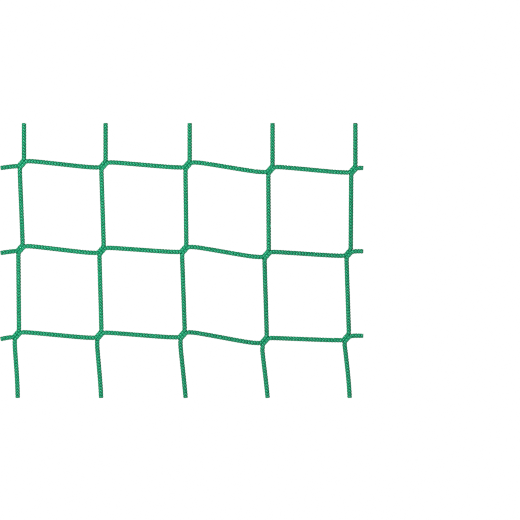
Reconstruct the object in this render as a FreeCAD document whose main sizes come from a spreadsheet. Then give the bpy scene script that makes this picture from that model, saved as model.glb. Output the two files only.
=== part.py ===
"""A hand-sized piece of cargo climbing net, hanging from its five top tails.

The net is knotless: eight zigzag cords climb to the right in steps, and at
each of the fifteen joints two neighbouring cords are knitted together side by
side along a short diagonal. Every cord is built in sections, parted only where
the net folds, so that the three rows and the five bottom tails can swing.

Millimetres. X runs along the rows, Z is up and Y is through the net, which
hangs in the plane y = 0. The origin is the cut tip of the middle top tail.
"""

import FreeCAD, Part
import math
import os

ROWS = ("top", "middle", "bottom")
COLUMNS = 5

DRIVING_SIZES = {
    "cord_dia": 5.0,          # knitted cord, across
    "joint_angle": 56.0,      # slope of a joint's diagonal, degrees above level
    "joint_shift": 5.0,       # the upright steps this far right through a joint
    "joint_rise": 6.0,        # the crossbar steps this far up through a joint
    "joint_offset": 1.25,     # each cord's centre from the joint's middle plane
    "trim_length": 26.0,      # the pressed face's trimming block
    "trim_depth": 12.0,
    "trim_width": 8.0,
    "upper_fold_z": -103.0,   # fold lines, level with the middle of the uprights
    "lower_fold_z": -204.5,
    "tail_fold_z": -285.5,
    "fold_reach": 10.5,       # the bend zone's half height
    "fold_gap": 0.2,          # between a bend zone and the section below it
    "left_cut": -225.0,       # the left and right cut lines
    "right_cut": 206.5,
    "arc_share": 0.45,        # an arc's tangent, of the shorter run beside it
    "lead_share": 0.18,       # of a crossbar's span that stays nearly level
    "drop_share": 0.08,       # of a crossbar's drop that falls within the lead
}

# Centre of each joint, (x, z), from the left. The net hangs a little uneven.
JOINTS = {
    "top": ((-199.5, -48.5), (-102.5, -50.0), (-2.5, -50.0), (96.0, -55.5), (194.5, -56.0)),
    "middle": ((-201.2, -149.6), (-104.8, -151.6), (-6.5, -150.5), (91.5, -156.5), (189.0, -155.0)),
    "bottom": ((-205.5, -252.0), (-107.5, -252.5), (-8.5, -252.0), (89.1, -258.8), (186.7, -255.4)),
}

# Each bottom tail leans: its route below the joint, (x, z), from its cut end up.
TAIL_ROUTES = (
    ((-204.5, -327.0), (-204.7, -310.0), (-207.9, -267.0)),
    ((-105.3, -327.0), (-105.9, -312.0), (-109.8, -269.0)),
    ((-4.8, -327.0), (-6.2, -311.0), (-10.8, -268.0)),
    ((92.7, -327.0), (91.2, -311.0), (86.2, -270.5)),
    ((190.2, -327.0), (189.6, -311.0), (184.8, -268.0)),
)
LEFT_TAIL_DROP = 2.0     # a left tail's cut end hangs this far below its joint's left side
RIGHT_TAIL_DROP = 0.6

doc = FreeCAD.newDocument("cargo_climbing_net")
sheet = doc.addObject("Spreadsheet::Sheet", "sizes")
for row, (alias, value) in enumerate(DRIVING_SIZES.items(), start=1):
    sheet.set(f"A{row}", alias)
    sheet.set(f"B{row}", str(value))
    sheet.setAlias(f"B{row}", alias)
doc.recompute()


def size(alias):
    """A driving dimension, read back from the sheet."""
    return float(sheet.get(alias))


def joint_corners(centre):
    """The corners of both cords' routes at a joint.

    The upper cord comes in level from the left, turns up the diagonal and
    leaves upwards; the lower cord comes up from below, turns up the same
    diagonal and leaves level to the right. The two are point reflections.
    """
    x, z = centre
    cosine = math.cos(math.radians(size("joint_angle")))
    sine = math.sin(math.radians(size("joint_angle")))
    offset = size("joint_offset")
    half_shift = size("joint_shift") / 2
    half_rise = size("joint_rise") / 2
    along_left = -(half_rise + offset * cosine) / sine
    side_x = -offset * sine + along_left * cosine
    along_up = (half_shift + offset * sine) / cosine
    up_z = offset * cosine + along_up * sine
    upper = ((x + side_x, z - half_rise), (x + half_shift, z + up_z))
    lower = ((x - half_shift, z - up_z), (x - side_x, z + half_rise))
    return {"upper": upper, "lower": lower}


CORNERS = {row: [joint_corners(c) for c in JOINTS[row]] for row in ROWS}


def at_height(low, high, z):
    """The point at height z on the straight run from low to high."""
    share = (z - low[1]) / (high[1] - low[1])
    return (low[0] + share * (high[0] - low[0]), z)


def upright(row, column, z):
    """The point at height z on the upright that rises from a row's joint to the row above."""
    above = ROWS[ROWS.index(row) - 1]
    return at_height(CORNERS[row][column]["upper"][1], CORNERS[above][column]["lower"][0], z)


def crossbar(row, column):
    """A crossbar's two inner route points: it leaves a joint level, falls, and arrives level."""
    start = CORNERS[row][column]["lower"][1]
    end = CORNERS[row][column + 1]["upper"][0]
    lead = size("lead_share") * (end[0] - start[0])
    drop = size("drop_share") * (end[1] - start[1])
    return [(start[0] + lead, start[1] + drop), (end[0] - lead, end[1] - drop)]


def below_joint(row, column, reach):
    """The route up to a joint from the fold below it, stopping short of the fold by reach."""
    if row == "bottom":
        low, high = TAIL_ROUTES[column][1:]
        return [at_height(low, high, size("tail_fold_z") + reach), high]
    fold = size("upper_fold_z") if row == "top" else size("lower_fold_z")
    next_row = ROWS[ROWS.index(row) + 1]
    return [upright(next_row, column, fold + reach)]


def above_joint(row, column, reach):
    """The route above a joint: the top row's tails are cut at z = 0, the others stop at a fold."""
    if row == "top":
        return [(CORNERS[row][column]["upper"][1][0], 0.0)]
    fold = size("upper_fold_z") if row == "middle" else size("lower_fold_z")
    return [upright(row, column, fold - reach)]


def section_route(row, column):
    """Route of one cord section, column 0 to 5, from its lower left end to its upper right end.

    Section 0 starts at the left cut line and section 5 ends at the right one.
    The others come up to joint `column` and go on through joint `column + 1`.
    """
    reach = size("fold_reach")
    route = []
    if column == 0:
        left = CORNERS[row][0]["upper"][0]
        route.append((size("left_cut"), left[1] - LEFT_TAIL_DROP))
    else:
        route += below_joint(row, column - 1, reach)
        route += CORNERS[row][column - 1]["lower"]
    if 0 < column < COLUMNS:
        route += crossbar(row, column - 1)
    if column == COLUMNS:
        right = CORNERS[row][-1]["lower"][1]
        route.append((size("right_cut"), right[1] - RIGHT_TAIL_DROP))
    else:
        route += CORNERS[row][column]["upper"]
        route += above_joint(row, column, reach)
    return route


def path_wire(route):
    """Straight runs joined by tangent arcs, each as large as its two runs allow."""
    points = [FreeCAD.Vector(x, 0, z) for x, z in route]
    edges = []
    radii = []
    start = points[0]
    for before, corner, after in zip(points, points[1:], points[2:]):
        towards = (corner - before).normalize()
        away = (after - corner).normalize()
        turn = towards.getAngle(away)
        tangent = size("arc_share") * min((corner - before).Length, (after - corner).Length)
        first = corner - towards * tangent
        last = corner + away * tangent
        radius = tangent / math.tan(turn / 2)
        bisector = (away - towards).normalize()
        middle = corner + bisector * (radius / math.cos(turn / 2) - radius)
        edges.append(Part.LineSegment(start, first).toShape())
        edges.append(Part.Arc(first, middle, last).toShape())
        radii.append(radius)
        start = last
    edges.append(Part.LineSegment(start, points[-1]).toShape())
    return Part.Wire(edges), radii


def bound(kind, name, **expressions):
    """A document object whose properties are bound to expressions on the sheet."""
    item = doc.addObject(kind, name)
    for prop, expression in expressions.items():
        item.setExpression(prop, expression)
    return item


def cord_sweep(name, route):
    """A round cord swept along a route, with its volume checked against section times length."""
    wire, radii = path_wire(route)
    spine = doc.addObject("Part::Feature", f"{name}_path")
    spine.Shape = wire
    profile = bound("Part::Circle", f"{name}_profile", Radius="sizes.cord_dia / 2")
    start = wire.Edges[0].Vertexes[0].Point
    heading = wire.Edges[0].tangentAt(wire.Edges[0].FirstParameter)
    turn = FreeCAD.Rotation(FreeCAD.Vector(0, 0, 1), heading)
    profile.Placement = FreeCAD.Placement(start, turn)
    sweep = doc.addObject("Part::Sweep", f"{name}_sweep")
    sweep.Sections = [profile]
    sweep.Spine = (spine, [f"Edge{number + 1}" for number in range(len(wire.Edges))])
    sweep.Solid = True
    doc.recompute()
    expected = math.pi * (size("cord_dia") / 2) ** 2 * wire.Length
    ratio = sweep.Shape.Volume / expected
    tightest = min(radii) if radii else math.inf
    print(f"{name}: {wire.Length:.1f} mm long, smallest bend {tightest:.1f} mm, volume ratio {ratio:.4f}")
    if abs(ratio - 1) > 0.01:
        raise RuntimeError(f"{name} has the wrong volume")
    return sweep


def trim_block(name, centre, side):
    """The block beyond a joint's middle plane, where the other cord lies: side +1 is lower right."""
    block = bound(
        "Part::Box",
        name,
        Length="sizes.trim_length",
        Width="sizes.trim_width",
        Height="sizes.trim_depth",
    )
    angle = size("joint_angle")
    turn = FreeCAD.Rotation(FreeCAD.Vector(0, 1, 0), -angle)
    lowest = 0.0 if side < 0 else -size("trim_depth")
    corner = turn.multVec(FreeCAD.Vector(-size("trim_length") / 2, -size("trim_width") / 2, lowest))
    block.Placement = FreeCAD.Placement(FreeCAD.Vector(centre[0], 0, centre[1]) + corner, turn)
    return block


def cord_section(row, column):
    """One rigid section of cord in a row, flat where it is pressed against its neighbour."""
    ends = {0: "left_end", COLUMNS: "right_end"}
    name = f"{row}_row_{ends.get(column, f'cord_{column}')}"
    shape = cord_sweep(name, section_route(row, column))
    blocks = []
    if column > 0:
        blocks.append(trim_block(f"{name}_start_block", JOINTS[row][column - 1], -1))
    if column < COLUMNS:
        blocks.append(trim_block(f"{name}_end_block", JOINTS[row][column], 1))
    for number, block in enumerate(blocks, start=1):
        cut = doc.addObject("Part::Cut", f"{name}_pressed_{number}")
        cut.Base = shape
        cut.Tool = block
        shape = cut
    shape.Label = name
    return shape


def straight_cord(name, low, high):
    """A straight round length of cord between two route points."""
    start = FreeCAD.Vector(low[0], 0, low[1])
    end = FreeCAD.Vector(high[0], 0, high[1])
    cord = bound("Part::Cylinder", name, Radius="sizes.cord_dia / 2")
    cord.Height = (end - start).Length
    cord.Placement = FreeCAD.Placement(start, FreeCAD.Rotation(FreeCAD.Vector(0, 0, 1), end - start))
    cord.Label = name
    return cord


def fold_bend(name, low, high, fold):
    """The short length of cord that bends at a fold line, between the sections it joins."""
    bottom = at_height(low, high, fold - size("fold_reach") + size("fold_gap"))
    return straight_cord(name, bottom, at_height(low, high, fold + size("fold_reach")))


def bottom_tail(column):
    """A loose tail below the bottom row, from its cut end up to its bend zone."""
    end, middle, top = TAIL_ROUTES[column]
    head = at_height(middle, top, size("tail_fold_z") - size("fold_reach"))
    tail = cord_sweep(f"bottom_tail_{column + 1}", [end, middle, head])
    tail.Label = f"bottom_tail_{column + 1}"
    return tail


sub_parts = []
for row in ROWS:
    for column in range(COLUMNS + 1):
        sub_parts.append(cord_section(row, column))

for column in range(COLUMNS):
    for above, below, alias in (("top", "middle", "upper_fold"), ("middle", "bottom", "lower_fold")):
        low = CORNERS[below][column]["upper"][1]
        high = CORNERS[above][column]["lower"][0]
        sub_parts.append(fold_bend(f"{alias}_bend_{column + 1}", low, high, size(f"{alias}_z")))
    end, middle, top = TAIL_ROUTES[column]
    sub_parts.append(fold_bend(f"tail_bend_{column + 1}", middle, top, size("tail_fold_z")))
    sub_parts.append(bottom_tail(column))

doc.recompute()
for item in doc.Objects:
    if "Invalid" in item.State or "Error" in item.State:
        raise RuntimeError(f"{item.Name} is {item.State}")
for item in sub_parts:
    if item.Shape.isNull() or not item.Shape.isValid() or len(item.Shape.Solids) != 1:
        raise RuntimeError(f"{item.Label} isn't one valid solid")

os.makedirs("parts", exist_ok=True)
for item in sub_parts:
    item.Shape.exportStep(f"parts/{item.Label}.step")
print(f"{len(sub_parts)} sub-parts, {sum(item.Shape.Volume for item in sub_parts) / 1000:.2f} cm3")
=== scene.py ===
"""Looks for a hanging piece of knotless cargo climbing net.

The net is eight knitted cords that climb to the right in steps. At each of the
fifteen joints two of them lie side by side along a short diagonal, knitted
together. Each cord is one smooth spline with seven columns of leaning stitches
round it, in step with each other. It is built in pieces that meet in the middle
of a crossbar; the pieces on the top row ride on that row. Metres;
X along the rows, Z up, Y through the net.
"""
import math

import bpy
import numpy as np
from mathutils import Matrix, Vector


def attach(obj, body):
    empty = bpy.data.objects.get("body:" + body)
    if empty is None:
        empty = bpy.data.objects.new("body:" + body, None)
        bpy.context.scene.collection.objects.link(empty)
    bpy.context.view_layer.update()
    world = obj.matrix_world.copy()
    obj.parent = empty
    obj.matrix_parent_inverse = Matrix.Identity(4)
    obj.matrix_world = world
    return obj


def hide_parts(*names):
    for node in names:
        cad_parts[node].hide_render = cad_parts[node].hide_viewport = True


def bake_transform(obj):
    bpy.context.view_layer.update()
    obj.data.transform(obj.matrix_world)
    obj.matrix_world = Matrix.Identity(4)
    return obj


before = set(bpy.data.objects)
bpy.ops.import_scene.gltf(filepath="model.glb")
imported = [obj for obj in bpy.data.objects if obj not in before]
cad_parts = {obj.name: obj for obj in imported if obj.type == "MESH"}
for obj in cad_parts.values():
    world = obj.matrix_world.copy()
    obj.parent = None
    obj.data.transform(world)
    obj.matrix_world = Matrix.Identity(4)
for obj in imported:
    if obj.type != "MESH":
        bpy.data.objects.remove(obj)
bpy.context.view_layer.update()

# ---------------------------------------------------------------- the net's routes
ROWS = ("top", "middle", "bottom")
COLUMNS = 5
JOINT_ANGLE = math.radians(52)    # a joint's diagonal, up from level
LEAD_SHARE = 0.18            # a crossbar runs nearly level for this share of its length,
DROP_SHARE = 0.08            # and falls by this share of its drop there
LEFT_CUT = -0.225
RIGHT_CUT = 0.2065
TOP_CUT = 0.0
LEFT_TAIL_DROP = 0.0020      # how far the side tails hang below the level they leave at
RIGHT_TAIL_DROP = 0.0006
JOINTS = (                   # each joint's middle (x, z), row by row from the top left
    ((-0.1995, -0.0485), (-0.1025, -0.0500), (-0.0025, -0.0500), (0.0960, -0.0555), (0.1945, -0.0560)),
    ((-0.2012, -0.1496), (-0.1048, -0.1516), (-0.0065, -0.1505), (0.0915, -0.1565), (0.1890, -0.1550)),
    ((-0.2055, -0.2520), (-0.1075, -0.2525), (-0.0085, -0.2520), (0.0891, -0.2588), (0.1867, -0.2554)),
)
TAIL_ROUTES = (              # each bottom tail's route points (x, z), from its cut end up
    ((-0.2045, -0.3270), (-0.2047, -0.3100), (-0.2079, -0.2670)),
    ((-0.1053, -0.3270), (-0.1059, -0.3120), (-0.1098, -0.2690)),
    ((-0.0048, -0.3270), (-0.0062, -0.3110), (-0.0108, -0.2680)),
    ((0.0927, -0.3270), (0.0912, -0.3110), (0.0862, -0.2705)),
    ((0.1902, -0.3270), (0.1896, -0.3110), (0.1848, -0.2680)),
)

# ---------------------------------------------------------------- the stitches
YARNS = 7                    # columns of stitches round the cord
STITCH = 0.00345             # one stitch's length along the cord
STITCH_ON_TOP = 0.70         # the share of it that lies on top, leaning one way
STITCH_LEAN = math.radians(20)
STITCH_JITTER = 0.04         # the columns are out of step by up to this share of a stitch
RINGS_PER_STITCH = 10
RING_STEP = STITCH / RINGS_PER_STITCH
LEAN_RINGS = 15              # the lean changes smoothly over this many rings each way
RING_CORNERS = 8
STRAND_RADIUS = 0.00213      # the strands' mean distance from the cord's centre
STRAND_WAVE = 0.00011        # how far a strand rises and dips as it goes over and under
STRAND_HALF_WIDTH = 0.00082
STRAND_HALF_THICKNESS = 0.00056
STRAND_WIDENS = 0.22         # a strand's half width and half thickness grow by these
STRAND_THICKENS = 0.07       # shares where it lies over, and shrink where it lies under
CORE_RADIUS = 0.0014
PAINTED_SHADE_DEPTH = 0.0018          # painted shade: a strand is painted at its darkest this near the cord's centre,
PAINTED_HIGHLIGHT_RISE = 0.0010          # and at its palest, a painted highlight, this much further out,
UNDER_PAINTED_SHADE = 0.25            # less twice this share where it lies under, as painted shade in the dips

FRONT_TURN = 0.07            # one column of stitches faces a little left of the front
TWISTS = ((0.20, 0.21), (0.12, 0.067))    # slow turns of the columns: radians, wavelength
TWIST_PHASE = 6.28           # each turn starts anywhere in its first wave
OUTWARD_STEP = 0.001         # a strand's outward direction is taken over this much

CORD_RADIUS = 0.0027         # over the stitches' crowns
JOINT_REACH = 0.014          # two cords may touch this far from a joint's middle
JOINT_BULGE = 0.22           # pressed sideways, a cord swells this share through the net
CUT_TAPER = 0.0018           # a hot-cut end draws in over this length,
CUT_SHARE = 0.86             # to this share of the cord's size

# The way through a joint, from its middle: the upper cord arrives level from the
# left and turns up, the lower one arrives from below and turns level to the right.
UPPER_WAY = (
    (-0.0095, -0.0028), (-0.0041, -0.0030), (-0.0012, 0.0009), (0.0025, 0.0046), (0.0025, 0.0098),
)
LOWER_WAY = (
    (-0.0025, -0.0098), (-0.0025, -0.0046), (0.0012, -0.0009), (0.0041, 0.0030), (0.0095, 0.0032),
)


def joint_way(row, column, side):
    """The route points (x, z) of one side's way through a joint."""
    x, z = JOINTS[row][column]
    return [(x + across, z + up) for across, up in (UPPER_WAY if side == "upper" else LOWER_WAY)]


def crossbar(row, column):
    """A crossbar's two inner route points: it leaves level, falls, and arrives level."""
    start = joint_way(row, column, "lower")[3]
    end = joint_way(row, column + 1, "upper")[1]
    lead = LEAD_SHARE * (end[0] - start[0])
    drop = DROP_SHARE * (end[1] - start[1])
    return [(start[0] + lead, start[1] + drop), (end[0] - lead, end[1] - drop)]


def zigzag(row, column, side):
    """The joints that one cord passes, upwards from its first, as (row, column, side)."""
    passed = []
    while row >= 0 and column < COLUMNS:
        passed.append((row, column, side))
        if side == "upper":
            row -= 1
        else:
            column += 1
        side = "lower" if side == "upper" else "upper"
    return passed


def cord_route(passed):
    """The route points (x, z) of the cord that passes these joints."""
    row, column, side = passed[0]
    points = []
    if side == "upper":
        points.append((LEFT_CUT, joint_way(row, 0, "upper")[1][1] - LEFT_TAIL_DROP))
    else:
        points += TAIL_ROUTES[column]
    for row, column, side in passed:
        way = joint_way(row, column, side)
        if side == "lower" and column + 1 < COLUMNS:
            points += way + crossbar(row, column)
        elif side == "lower":
            points += way[:4] + [(RIGHT_CUT, way[3][1] - RIGHT_TAIL_DROP)]
        else:
            points += way
    if points[-1][0] != RIGHT_CUT:
        points.append((points[-1][0], TOP_CUT))
    return points


def spline_points(name, route):
    """The line of the smooth spline that has the route as its control points."""
    curve = bpy.data.curves.new(name, "CURVE")
    curve.dimensions = "3D"
    curve.resolution_u = 24
    spline = curve.splines.new("NURBS")
    spline.points.add(len(route) - 1)
    for point, (x, z) in zip(spline.points, route):
        point.co = (x, 0.0, z, 1.0)
    spline.order_u = 3
    spline.use_endpoint_u = True
    holder = bpy.data.objects.new(name, curve)
    mesh = bpy.data.meshes.new_from_object(holder)
    line = np.array([vertex.co for vertex in mesh.vertices], float)
    bpy.data.meshes.remove(mesh)
    bpy.data.objects.remove(holder)
    bpy.data.curves.remove(curve)
    return line


def evenly(line, step):
    """The line again with points one step apart, and their distances along it."""
    along = np.concatenate([[0], np.cumsum(np.linalg.norm(np.diff(line, axis=0), axis=1))])
    count = max(2, round(along[-1] / step) + 1)
    at = np.linspace(0, along[-1], count)
    return np.stack([np.interp(at, along, line[:, axis]) for axis in range(3)], axis=1), at


def unit(vectors):
    """The vectors at length 1."""
    return vectors / np.linalg.norm(vectors, axis=-1, keepdims=True)


def ease(share):
    """A share from 0 to 1 that starts and ends gently."""
    share = np.clip(share, 0, 1)
    return share * share * (3 - 2 * share)


# ---------------------------------------------------------------- mesh building
FIBRE_MAP = "fibres"


def ring_faces(rings, corners):
    """Quads of a closed tube of rings, with both ends capped, for an even number of corners."""
    ring, corner = np.meshgrid(np.arange(rings - 1), np.arange(corners), indexing="ij")
    after = (corner + 1) % corners
    low = ring * corners
    sides = np.stack([low + corner, low + after, low + corners + after, low + corners + corner], axis=-1)
    half = corners // 2
    caps = []
    for k in range(half - 1):
        strip = (k, k + 1, corners - k - 2, corners - k - 1)
        caps.append(strip[::-1])
        caps.append(tuple((rings - 1) * corners + s for s in strip))
    return np.concatenate([sides.reshape(-1, 4), np.array(caps)])


class Build:
    """Collects quads and per-point values, then makes one mesh object."""

    def __init__(self):
        self.points, self.faces, self.values, self.slots = [], [], [], []
        self.count = 0

    def tube(self, rings, values, slot=0):
        """Adds a closed tube. rings: (rings, corners, 3); values: name to number or (rings, corners)."""
        shape = rings.shape[:2]
        faces = ring_faces(*shape) + self.count
        self.points.append(rings.reshape(-1, 3))
        self.faces.append(faces)
        self.values.append({k: np.broadcast_to(v, shape).reshape(-1) for k, v in values.items()})
        self.slots.append(np.full(len(faces), slot))
        self.count += shape[0] * shape[1]

    def make(self, name, materials):
        """The mesh object, with the values as attributes and a map of the fibres' directions."""
        points = np.concatenate(self.points).astype(np.float32)
        faces = np.concatenate(self.faces).astype(np.int32)
        mesh = bpy.data.meshes.new(name)
        mesh.vertices.add(len(points))
        mesh.vertices.foreach_set("co", points.ravel())
        mesh.loops.add(faces.size)
        mesh.loops.foreach_set("vertex_index", faces.ravel())
        mesh.polygons.add(len(faces))
        mesh.polygons.foreach_set("loop_start", np.arange(0, faces.size, 4, dtype=np.int32))
        mesh.polygons.foreach_set("material_index", np.concatenate(self.slots).astype(np.int32))
        mesh.update(calc_edges=True)
        mesh.shade_smooth()
        for key in self.values[0]:
            layer = mesh.attributes.new(key, "FLOAT", "POINT")
            layer.data.foreach_set("value", np.concatenate([v[key] for v in self.values]).astype(np.float32))
        places = np.stack(
            [np.concatenate([v[key] for v in self.values]) for key in ("around", "along")], axis=-1)
        fibre_map = mesh.uv_layers.new(name=FIBRE_MAP)
        fibre_map.data.foreach_set("uv", places[faces.ravel()].astype(np.float32).ravel())
        for material in materials:
            mesh.materials.append(material)
        mesh.validate()
        piece = bpy.data.objects.new(name, mesh)
        bpy.context.scene.collection.objects.link(piece)
        return piece


def swept_rings(centres, outward, half_width, half_thickness, heading=None):
    """Oval rings square to the heading, or else to the line of centres.

    They reach half_width sideways and half_thickness outward.
    """
    tangent = unit(np.gradient(centres, axis=0)) if heading is None else heading
    outward = unit(outward - (outward * tangent).sum(-1, keepdims=True) * tangent)
    side = np.cross(tangent, outward)
    angle = np.arange(RING_CORNERS) * 2 * math.pi / RING_CORNERS
    across = np.asarray(half_width)[..., None, None] * np.cos(angle)[:, None] * side[:, None, :]
    up = np.asarray(half_thickness)[..., None, None] * np.sin(angle)[:, None] * outward[:, None, :]
    return centres[:, None, :] + across + up


# ---------------------------------------------------------------- materials
def node(tree, kind, **inputs):
    """A new node. Underscores in an input's name stand for spaces."""
    made = tree.nodes.new(kind)
    for key, value in inputs.items():
        made.inputs[key.replace("_", " ")].default_value = value
    return made


def ramp(tree, stops):
    """A colour ramp with stops of (position, (red, green, blue))."""
    made = tree.nodes.new("ShaderNodeValToRGB")
    elements = made.color_ramp.elements
    while len(elements) < len(stops):
        elements.new(0.5)
    for element, (position, colour) in zip(elements, stops):
        element.position = position
        element.color = (*colour, 1)
    return made


def attribute(tree, name):
    """One of the values that the mesh carries."""
    made = tree.nodes.new("ShaderNodeAttribute")
    made.attribute_name = name
    return made.outputs["Fac"]


def maths(tree, operation, *values):
    """A math node's result. The values are numbers or other nodes' outputs."""
    made = tree.nodes.new("ShaderNodeMath")
    made.operation = operation
    for place, value in zip(made.inputs, values):
        if isinstance(value, float):
            place.default_value = value
        else:
            tree.links.new(value, place)
    return made.outputs["Value"]


def relief(tree, shader, height, roughness, strength, distance):
    """Roughness between two values, and bumps, both from the same noise."""
    gloss = node(tree, "ShaderNodeMapRange", To_Min=roughness[0], To_Max=roughness[1])
    tree.links.new(height, gloss.inputs["Value"])
    tree.links.new(gloss.outputs["Result"], shader.inputs["Roughness"])
    bump = node(tree, "ShaderNodeBump", Strength=strength, Distance=distance)
    tree.links.new(height, bump.inputs["Height"])
    tree.links.new(bump.outputs["Normal"], shader.inputs["Normal"])


def new_material(name):
    """A material, its node tree and its shader."""
    material = bpy.data.materials.new(name)
    material.use_nodes = True
    return material, material.node_tree, material.node_tree.nodes["Principled BSDF"]


YARN_COLOURS_WITH_PAINTED_SHADE = (             # painted shade deep in the cord, halfway out, and painted highlight on the crowns
    (0.0, (0.0002, 0.128, 0.050)),
    (0.5, (0.0004, 0.162, 0.064)),
    (1.0, (0.0008, 0.228, 0.091)),
)
YARN_SHADES = (0.72, 1.20)   # how dark and how pale yarns and their fibres can be
FIBRE_SHARE = 0.55           # the share of that difference between fibres,
YARN_SHARE = 0.45            # and the share between yarns
MELTED_COLOURS = ((0.3, (0.008, 0.055, 0.028)), (0.7, (0.016, 0.110, 0.060)))


def yarn_material(name, specular_level):
    """Glossy green polypropylene yarn, with painted shade of deep green between the strands and a paler
    painted highlight on their crowns.
    """
    material, tree, shader = new_material(name)
    link = tree.links.new
    shader.inputs["IOR"].default_value = 2.3
    shader.inputs["Specular IOR Level"].default_value = specular_level
    shader.inputs["Specular Tint"].default_value = (0.155, 0.82, 0.53, 1)
    shader.inputs["Anisotropic"].default_value = 0.9
    shader.inputs["Sheen Weight"].default_value = 0.02
    shader.inputs["Sheen Tint"].default_value = (0.1, 1.0, 0.6, 1)
    across = tree.nodes.new("ShaderNodeTangent")
    across.direction_type = "UV_MAP"
    across.uv_map = FIBRE_MAP
    link(across.outputs["Tangent"], shader.inputs["Tangent"])
    yarn = attribute(tree, "yarn")
    fibre_place = tree.nodes.new("ShaderNodeCombineXYZ")
    link(attribute(tree, "around"), fibre_place.inputs["X"])
    link(attribute(tree, "along"), fibre_place.inputs["Y"])
    link(yarn, fibre_place.inputs["Z"])
    fibres = node(tree, "ShaderNodeTexNoise", Scale=1.0, Detail=3.0, Roughness=0.6)
    link(fibre_place.outputs["Vector"], fibres.inputs["Vector"])
    # the green darkens as painted shade deep in the cord and pales as a painted highlight on the crowns
    depth = ramp(tree, YARN_COLOURS_WITH_PAINTED_SHADE)
    link(attribute(tree, "painted_shade_and_highlight"), depth.inputs["Fac"])
    shade = node(tree, "ShaderNodeMapRange", To_Min=YARN_SHADES[0], To_Max=YARN_SHADES[1])
    yarn_part = maths(tree, "MULTIPLY", yarn, YARN_SHARE)
    link(maths(tree, "MULTIPLY_ADD", fibres.outputs["Fac"], FIBRE_SHARE, yarn_part), shade.inputs["Value"])
    tint = tree.nodes.new("ShaderNodeHueSaturation")
    link(shade.outputs["Result"], tint.inputs["Value"])
    link(depth.outputs["Color"], tint.inputs["Color"])
    link(tint.outputs["Color"], shader.inputs["Base Color"])
    relief(tree, shader, fibres.outputs["Fac"], roughness=(0.36, 0.50), strength=0.6, distance=0.00012)
    return material


def melted_material():
    """The yarn run together at a hot-cut end: darker, smoother and lumpy."""
    material, tree, shader = new_material("melted_cut_end")
    shader.inputs["IOR"].default_value = 1.49
    place = tree.nodes.new("ShaderNodeTexCoord")
    lumps = node(tree, "ShaderNodeTexNoise", Scale=900.0, Detail=4.0)
    tree.links.new(place.outputs["Object"], lumps.inputs["Vector"])
    colour = ramp(tree, MELTED_COLOURS)
    tree.links.new(lumps.outputs["Fac"], colour.inputs["Fac"])
    tree.links.new(colour.outputs["Color"], shader.inputs["Base Color"])
    relief(tree, shader, lumps.outputs["Fac"], roughness=(0.22, 0.45), strength=0.5, distance=0.0002)
    return material


YARN = yarn_material("green_knitted_yarn", 0.5)
JOINT_YARN = yarn_material("green_crossing_yarn", 0.0)
MELTED = melted_material()

# ---------------------------------------------------------------- cords
FIBRES_AROUND = 26.0         # noise cells round a strand, so that its filaments run along it
FIBRE_LENGTH = 0.004
PLAIN = {"painted_shade_and_highlight": 0.0, "yarn": 0.5, "around": 0.0, "along": 0.0}    # a surface without fibres; on the core it takes the darkest, painted-shade yarn colour
MELTED_SLOT = 1              # the melted material's place on a piece of cord
CAP_CORNERS = 16
CAP_PROFILE = (              # a cut end's rings: depth inside the cut, radius
    (0.0017, 0.0019), (0.0013, 0.00225), (0.0008, 0.0024),
    (0.0003, 0.0022), (0.00008, 0.0017), (0.0, 0.0007),
)
CAP_LUMPS = ((0.05, 3), (0.03, 5))    # share of the radius, and how many go round the end


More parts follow.
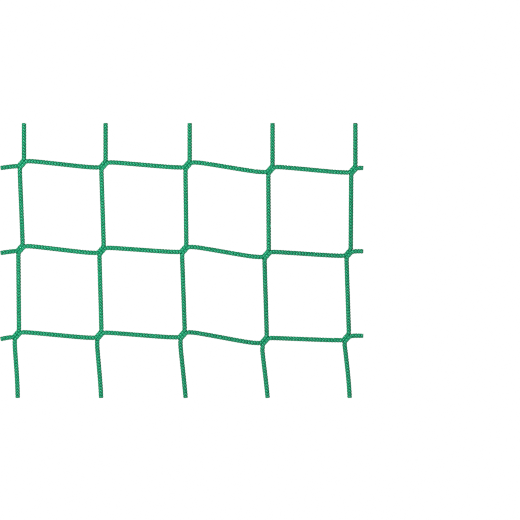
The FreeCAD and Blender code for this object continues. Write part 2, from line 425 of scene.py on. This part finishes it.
class Cord:
    """One zigzag cord: its centre line, its frame across the line, and how it is pressed at joints."""

    def __init__(self, number, passed):
        self.number = number
        line = spline_points(f"cord_{number}_line", cord_route(passed))
        self.centre, self.along = evenly(line, RING_STEP)
        self.tangent = unit(np.gradient(self.centre, axis=0))
        self.right = np.stack([self.tangent[:, 2], self.tangent[:, 1], -self.tangent[:, 0]], axis=1)
        self.back = np.zeros_like(self.centre)
        self.back[:, 1] = 1.0
        self.press = np.zeros(len(self.centre))
        for row, column, side in passed:
            x, z = JOINTS[row][column]
            near = np.abs(self.along - self.along[self.nearest(x, z)]) < JOINT_REACH
            own = self.centre[near]
            partner = 2 * np.array((x, 0, z)) - own
            gap = np.linalg.norm(own[:, None] - partner[None], axis=-1).min(axis=1)
            share = np.clip(1 - gap / 2 / CORD_RADIUS, 0, 1)
            self.press[near] += share if side == "upper" else -share
        random = np.random.default_rng(number)
        self.turn = np.full(len(self.centre), FRONT_TURN)
        for amount, wavelength in TWISTS:
            phase = random.uniform(0, TWIST_PHASE)
            self.turn += amount * np.sin(2 * math.pi * self.along / wavelength + phase)
        window = np.ones(2 * LEAN_RINGS + 1) / (2 * LEAN_RINGS + 1)
        lying = np.convolve(np.pad(self.tangent[:, 0] ** 2, LEAN_RINGS, "edge"), window, "valid")
        self.lean = STITCH_LEAN * (1 - 2 * lying)
        self.taper = np.ones(len(self.centre))
        for gap in (self.along, self.along[-1] - self.along):
            self.taper *= CUT_SHARE + (1 - CUT_SHARE) * ease(gap / CUT_TAPER)

    def nearest(self, x, z):
        """The ring nearest to a place in the net's plane."""
        return int(np.argmin(np.hypot(self.centre[:, 0] - x, self.centre[:, 2] - z)))

    def point(self, across, through):
        """Points at distances across (to the right of the line) and through (to the back)."""
        near = across * np.sign(self.press) > 0
        across = np.where(near, across * (1 - np.abs(self.press)), across)
        through = through * (1 + JOINT_BULGE * np.abs(self.press))
        return self.centre + across[:, None] * self.right + through[:, None] * self.back

    def strand(self, index, early):
        """A yarn's centre line, its outward direction, and +1 where it lies over, -1 where under."""
        stitch = (self.along / STITCH + early) % 1.0
        on_top = stitch < STITCH_ON_TOP
        share = np.where(on_top, stitch / STITCH_ON_TOP, (stitch - STITCH_ON_TOP) / (1 - STITCH_ON_TOP))
        way = np.where(on_top, 1.0, -1.0)
        over = way * np.sin(math.pi * share)
        angle = index * 2 * math.pi / YARNS + self.turn - self.lean * way * np.cos(math.pi * share)
        radius = (STRAND_RADIUS + STRAND_WAVE * over) * self.taper
        centres = self.point(radius * np.cos(angle), radius * np.sin(angle))
        beyond = radius + OUTWARD_STEP
        outward = self.point(beyond * np.cos(angle), beyond * np.sin(angle)) - centres
        return centres, outward, over


def cut_end(build, cord, ring, inward):
    """The rounded, run-together end of a hot-cut cord. inward is +1 at the first ring, -1 at the last."""
    angle = np.arange(CAP_CORNERS) * 2 * math.pi / CAP_CORNERS
    lumps = np.zeros(CAP_CORNERS)
    for turn, (share, count) in enumerate(CAP_LUMPS, start=1):
        lumps += share * np.sin(count * angle + turn * cord.number)
    rings = []
    for depth, radius in CAP_PROFILE:
        lumpy = radius * (1 + lumps)
        centre = cord.centre[ring] + inward * depth * cord.tangent[ring]
        rings.append(centre + (lumpy * np.cos(angle))[:, None] * cord.right[ring]
                     + (lumpy * np.sin(angle))[:, None] * cord.back[ring])
    rings = np.array(rings)
    if inward > 0:
        rings = rings[:, ::-1]
    build.tube(rings, PLAIN, slot=MELTED_SLOT)


def cord_piece(cord, name, first, last, strands, core):
    """The mesh of a cord between two of its rings."""
    build = Build()
    whole = slice(first, last + 1)
    for rings, values in strands:
        build.tube(rings[whole], {k: v[whole] if np.ndim(v) else v for k, v in values.items()})
    build.tube(core[whole], PLAIN)
    if first == 0:
        cut_end(build, cord, 0, 1)
    if last == len(cord.centre) - 1:
        cut_end(build, cord, last, -1)
    return build.make(name, (YARN, MELTED))


def strand_values(painted_shade_and_highlight, shade, along):
    """A strand's surface values: its painted shade and highlight per ring corner, one shade, and each ring's
    distance along.
    """
    around = np.abs(np.arange(RING_CORNERS) - RING_CORNERS / 2) / RING_CORNERS * FIBRES_AROUND
    return {
        "painted_shade_and_highlight": painted_shade_and_highlight,
        "yarn": shade,
        "around": np.broadcast_to(around, painted_shade_and_highlight.shape),
        "along": np.repeat((along / FIBRE_LENGTH)[:, None], RING_CORNERS, axis=1),
    }


def knit(cord):
    """All the yarns of a cord and its core, as rings with their surface values."""
    random = np.random.default_rng(100 + cord.number)
    made = []
    for index in range(YARNS):
        centres, outward, over = cord.strand(index, random.uniform(-STITCH_JITTER, STITCH_JITTER))
        width = STRAND_HALF_WIDTH * (1 + STRAND_WIDENS * over) * cord.taper
        thickness = STRAND_HALF_THICKNESS * (1 + STRAND_THICKENS * over) * cord.taper
        rings = swept_rings(centres, outward, width, thickness, cord.tangent)
        distance = np.linalg.norm(rings - cord.centre[:, None, :], axis=-1)
        # painted shade deep in the cord and where a strand dips under, painted highlight on its crown
        painted_under_shade = 1 - UNDER_PAINTED_SHADE + UNDER_PAINTED_SHADE * over
        painted_shade_and_highlight = np.clip((distance - PAINTED_SHADE_DEPTH) / PAINTED_HIGHLIGHT_RISE, 0, 1) * painted_under_shade[:, None]
        made.append((rings, strand_values(painted_shade_and_highlight, random.random(), cord.along)))
    # the core, in the painted shade colour, shows in the dips between the strands
    radius = np.full(len(cord.centre), CORE_RADIUS)
    core = swept_rings(cord.centre, cord.right, radius, radius)
    return made, core


LEVEL_NAMES = ("top_tail_cord", "upper_upright_cord", "lower_upright_cord", "bottom_tail_cord")
LEVEL_FOLDS = (None, "upper_fold", "lower_fold", "tail")    # which bend each level crosses
TAIL_LEVEL = len(ROWS)


def section_name(row, column):
    """The CAD section at a place in a row, counted from its left end."""
    ends = {0: "left_end", COLUMNS: "right_end"}
    return f"{ROWS[row]}_row_{ends.get(column, f'cord_{column}')}"


def stands_for(level, column):
    """The CAD nodes that a piece of cord stands for."""
    nodes = []
    if level < TAIL_LEVEL:
        nodes.append(section_name(level, column))
    if level > 0:
        nodes += [section_name(level - 1, column + 1), f"{LEVEL_FOLDS[level]}_bend_{column + 1}"]
    if level == TAIL_LEVEL:
        nodes.append(f"bottom_tail_{column + 1}")
    return nodes


def join_bodies(piece, level):
    """A top-row piece rides on the top row; any other piece keeps its place with its transform baked into
    its mesh.
    """
    if level == 0:
        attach(piece, "top_row")
        return
    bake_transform(piece)


def make_cord(number, passed):
    """One cord, in pieces that meet in the middle of each crossbar."""
    cord = Cord(number, passed)
    strands, core = knit(cord)
    first_row, first_column, first_side = passed[0]
    level = first_row if first_side == "upper" else TAIL_LEVEL
    pieces = [(level, first_column)]
    seams = [0]
    for (row, column, side), following in zip(passed, passed[1:]):
        if side == "lower":
            start, end = JOINTS[row][column], JOINTS[row][column + 1]
            seams.append(cord.nearest((start[0] + end[0]) / 2, (start[1] + end[1]) / 2))
            pieces.append((following[0], following[1]))
    last_ring = len(cord.centre) - 1
    seams.append(last_ring)
    for (level, column), first, last in zip(pieces, seams, seams[1:]):
        name = f"{LEVEL_NAMES[level]}_{column + 1}"
        piece = cord_piece(cord, name, first, last, strands, core)
        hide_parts(*stands_for(level, column))
        join_bodies(piece, level)


starts = [(row, 0, "upper") for row in range(len(ROWS))]
starts += [(len(ROWS) - 1, column, "lower") for column in range(COLUMNS)]
for number, start in enumerate(starts, start=1):
    make_cord(number, zigzag(*start))

# ---------------------------------------------------------------- joints
CROSSING_TURN = math.radians(-14)    # from the joint's diagonal to the yarns that cross it
CROSSING_DIP = 0.0011        # a crossing yarn's ends lie this much deeper than its middle
CROSSING_THINS = 0.35        # and are thinner by this share
CROSSING_PAINTED_SHADE_DEPTH = 0.0016       # painted shade: it is painted darkest this near the net's middle plane
CROSSING_PAINTED_HIGHLIGHT = 0.5         # and its painted highlight is never as pale as a cord's crowns
CROSSING_RINGS = 13
CROSSINGS = (                # place along the joint, half length, height over the net's middle
    (-0.0061, 0.0017, 0.0013),
    (-0.0034, 0.0022, 0.0021),
    (0.0, 0.0022, 0.0022),
    (0.0034, 0.0022, 0.0021),
    (0.0061, 0.0017, 0.0013),
)


def joint_yarns(row, column):
    """The strands that are knitted across from one cord to the other, front and back."""
    x, z = JOINTS[row][column]
    centre = np.array([x, 0.0, z])
    up = np.array([math.cos(JOINT_ANGLE), 0.0, math.sin(JOINT_ANGLE)])
    build = Build()
    random = np.random.default_rng(500 + 10 * row + column)
    angle = JOINT_ANGLE + CROSSING_TURN
    heading = np.array([math.cos(angle), 0.0, math.sin(angle)])
    share = np.linspace(-1, 1, CROSSING_RINGS)
    thin = 1 - CROSSING_THINS * share ** 2
    for face in (-1, 1):
        for place, half_length, top in CROSSINGS:
            line = centre + place * up + (share * half_length)[:, None] * heading
            line[:, 1] = face * (top - CROSSING_DIP * share ** 2)
            outward = np.zeros_like(line)
            outward[:, 1] = face
            rings = swept_rings(line, outward, STRAND_HALF_WIDTH * thin, STRAND_HALF_THICKNESS * thin)
            # painted shade towards the net's middle plane, a weaker painted highlight out from it
            painted_shade_and_highlight = CROSSING_PAINTED_HIGHLIGHT * np.clip((np.abs(rings[..., 1]) - CROSSING_PAINTED_SHADE_DEPTH) / PAINTED_HIGHLIGHT_RISE, 0, 1)
            build.tube(rings, strand_values(painted_shade_and_highlight, random.random(), share * half_length))
    piece = build.make(f"{ROWS[row]}_row_joint_{column + 1}_crossing_yarns", (JOINT_YARN,))
    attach(piece, f"{ROWS[row]}_row")


for row in range(len(ROWS)):
    for column in range(COLUMNS):
        joint_yarns(row, column)

# ---------------------------------------------------------------- studio
VIEW_CENTRE = (0.0836, -0.1629)    # the camera looks straight at this x and z
VIEW_WIDTH = 0.6183
CAMERA_AWAY = 1.5
FLOOR_HEIGHT = -0.50
FLOOR_SIZE = 6
FLOOR_GLOW = 0.75
WORLD_LIGHT = 0.08
LIGHT_AIM = (0.0, 0.0, -0.16)
LIGHTS = (                   # name, place, diameter, watts
    ("key", (-1.05, -1.65, 0.87), 0.28, 57),
    ("fill", (1.4, -1.4, 0.0), 0.9, 11),
    ("back", (0.6, 1.8, 0.7), 0.6, 42),
)


def studio_floor():
    """A pale floor. Its glow is for the camera only, so that it stays pale and doesn't light the net."""
    bpy.ops.mesh.primitive_grid_add(
        x_subdivisions=2, y_subdivisions=2, size=FLOOR_SIZE, location=(0, 0, FLOOR_HEIGHT))
    floor = bpy.context.object
    floor.name = "floor"
    material, tree, shader = new_material("pale_floor")
    shader.inputs["Base Color"].default_value = (0.86, 0.86, 0.86, 1)
    shader.inputs["Roughness"].default_value = 0.9
    shader.inputs["Emission Color"].default_value = (FLOOR_GLOW, FLOOR_GLOW, FLOOR_GLOW, 1)
    rays = tree.nodes.new("ShaderNodeLightPath")
    tree.links.new(rays.outputs["Is Camera Ray"], shader.inputs["Emission Strength"])
    floor.data.materials.append(material)


def soft_light(name, place, size, watts):
    """A round area light that faces the net."""
    data = bpy.data.lights.new(name, "AREA")
    data.shape = "DISK"
    data.size = size
    data.energy = watts
    lamp = bpy.data.objects.new(name, data)
    bpy.context.scene.collection.objects.link(lamp)
    lamp.location = place
    lamp.rotation_euler = (Vector(LIGHT_AIM) - Vector(place)).to_track_quat("-Z", "Y").to_euler()


def white_world():
    """Plain white behind the net, and a dimmer even light from all round."""
    world = bpy.data.worlds.new("white_studio")
    bpy.context.scene.world = world
    world.use_nodes = True
    tree = world.node_tree
    tree.nodes.clear()
    out = tree.nodes.new("ShaderNodeOutputWorld")
    mix = tree.nodes.new("ShaderNodeMixShader")
    seen = tree.nodes.new("ShaderNodeBackground")
    lit = tree.nodes.new("ShaderNodeBackground")
    rays = tree.nodes.new("ShaderNodeLightPath")
    lit.inputs["Color"].default_value = (1, 1, 1, 1)
    lit.inputs["Strength"].default_value = WORLD_LIGHT
    seen.inputs["Color"].default_value = (1, 1, 1, 1)
    tree.links.new(rays.outputs["Is Camera Ray"], mix.inputs["Fac"])
    tree.links.new(lit.outputs["Background"], mix.inputs[1])
    tree.links.new(seen.outputs["Background"], mix.inputs[2])
    tree.links.new(mix.outputs["Shader"], out.inputs["Surface"])


def camera():
    """A camera square to the net, without perspective."""
    data = bpy.data.cameras.new("camera")
    data.type = "ORTHO"
    data.ortho_scale = VIEW_WIDTH
    shooter = bpy.data.objects.new("camera", data)
    bpy.context.scene.collection.objects.link(shooter)
    shooter.location = (VIEW_CENTRE[0], -CAMERA_AWAY, VIEW_CENTRE[1])
    shooter.rotation_euler = (math.pi / 2, 0, 0)
    bpy.context.scene.camera = shooter


studio_floor()
white_world()
for light in LIGHTS:
    soft_light(*light)
camera()
bpy.context.scene.view_settings.view_transform = "Standard"
bpy.context.scene.cycles.use_denoising = False    # it would smear the stitches
bpy.context.scene.cycles.filter_width = 1.1       # and so would a wider filter
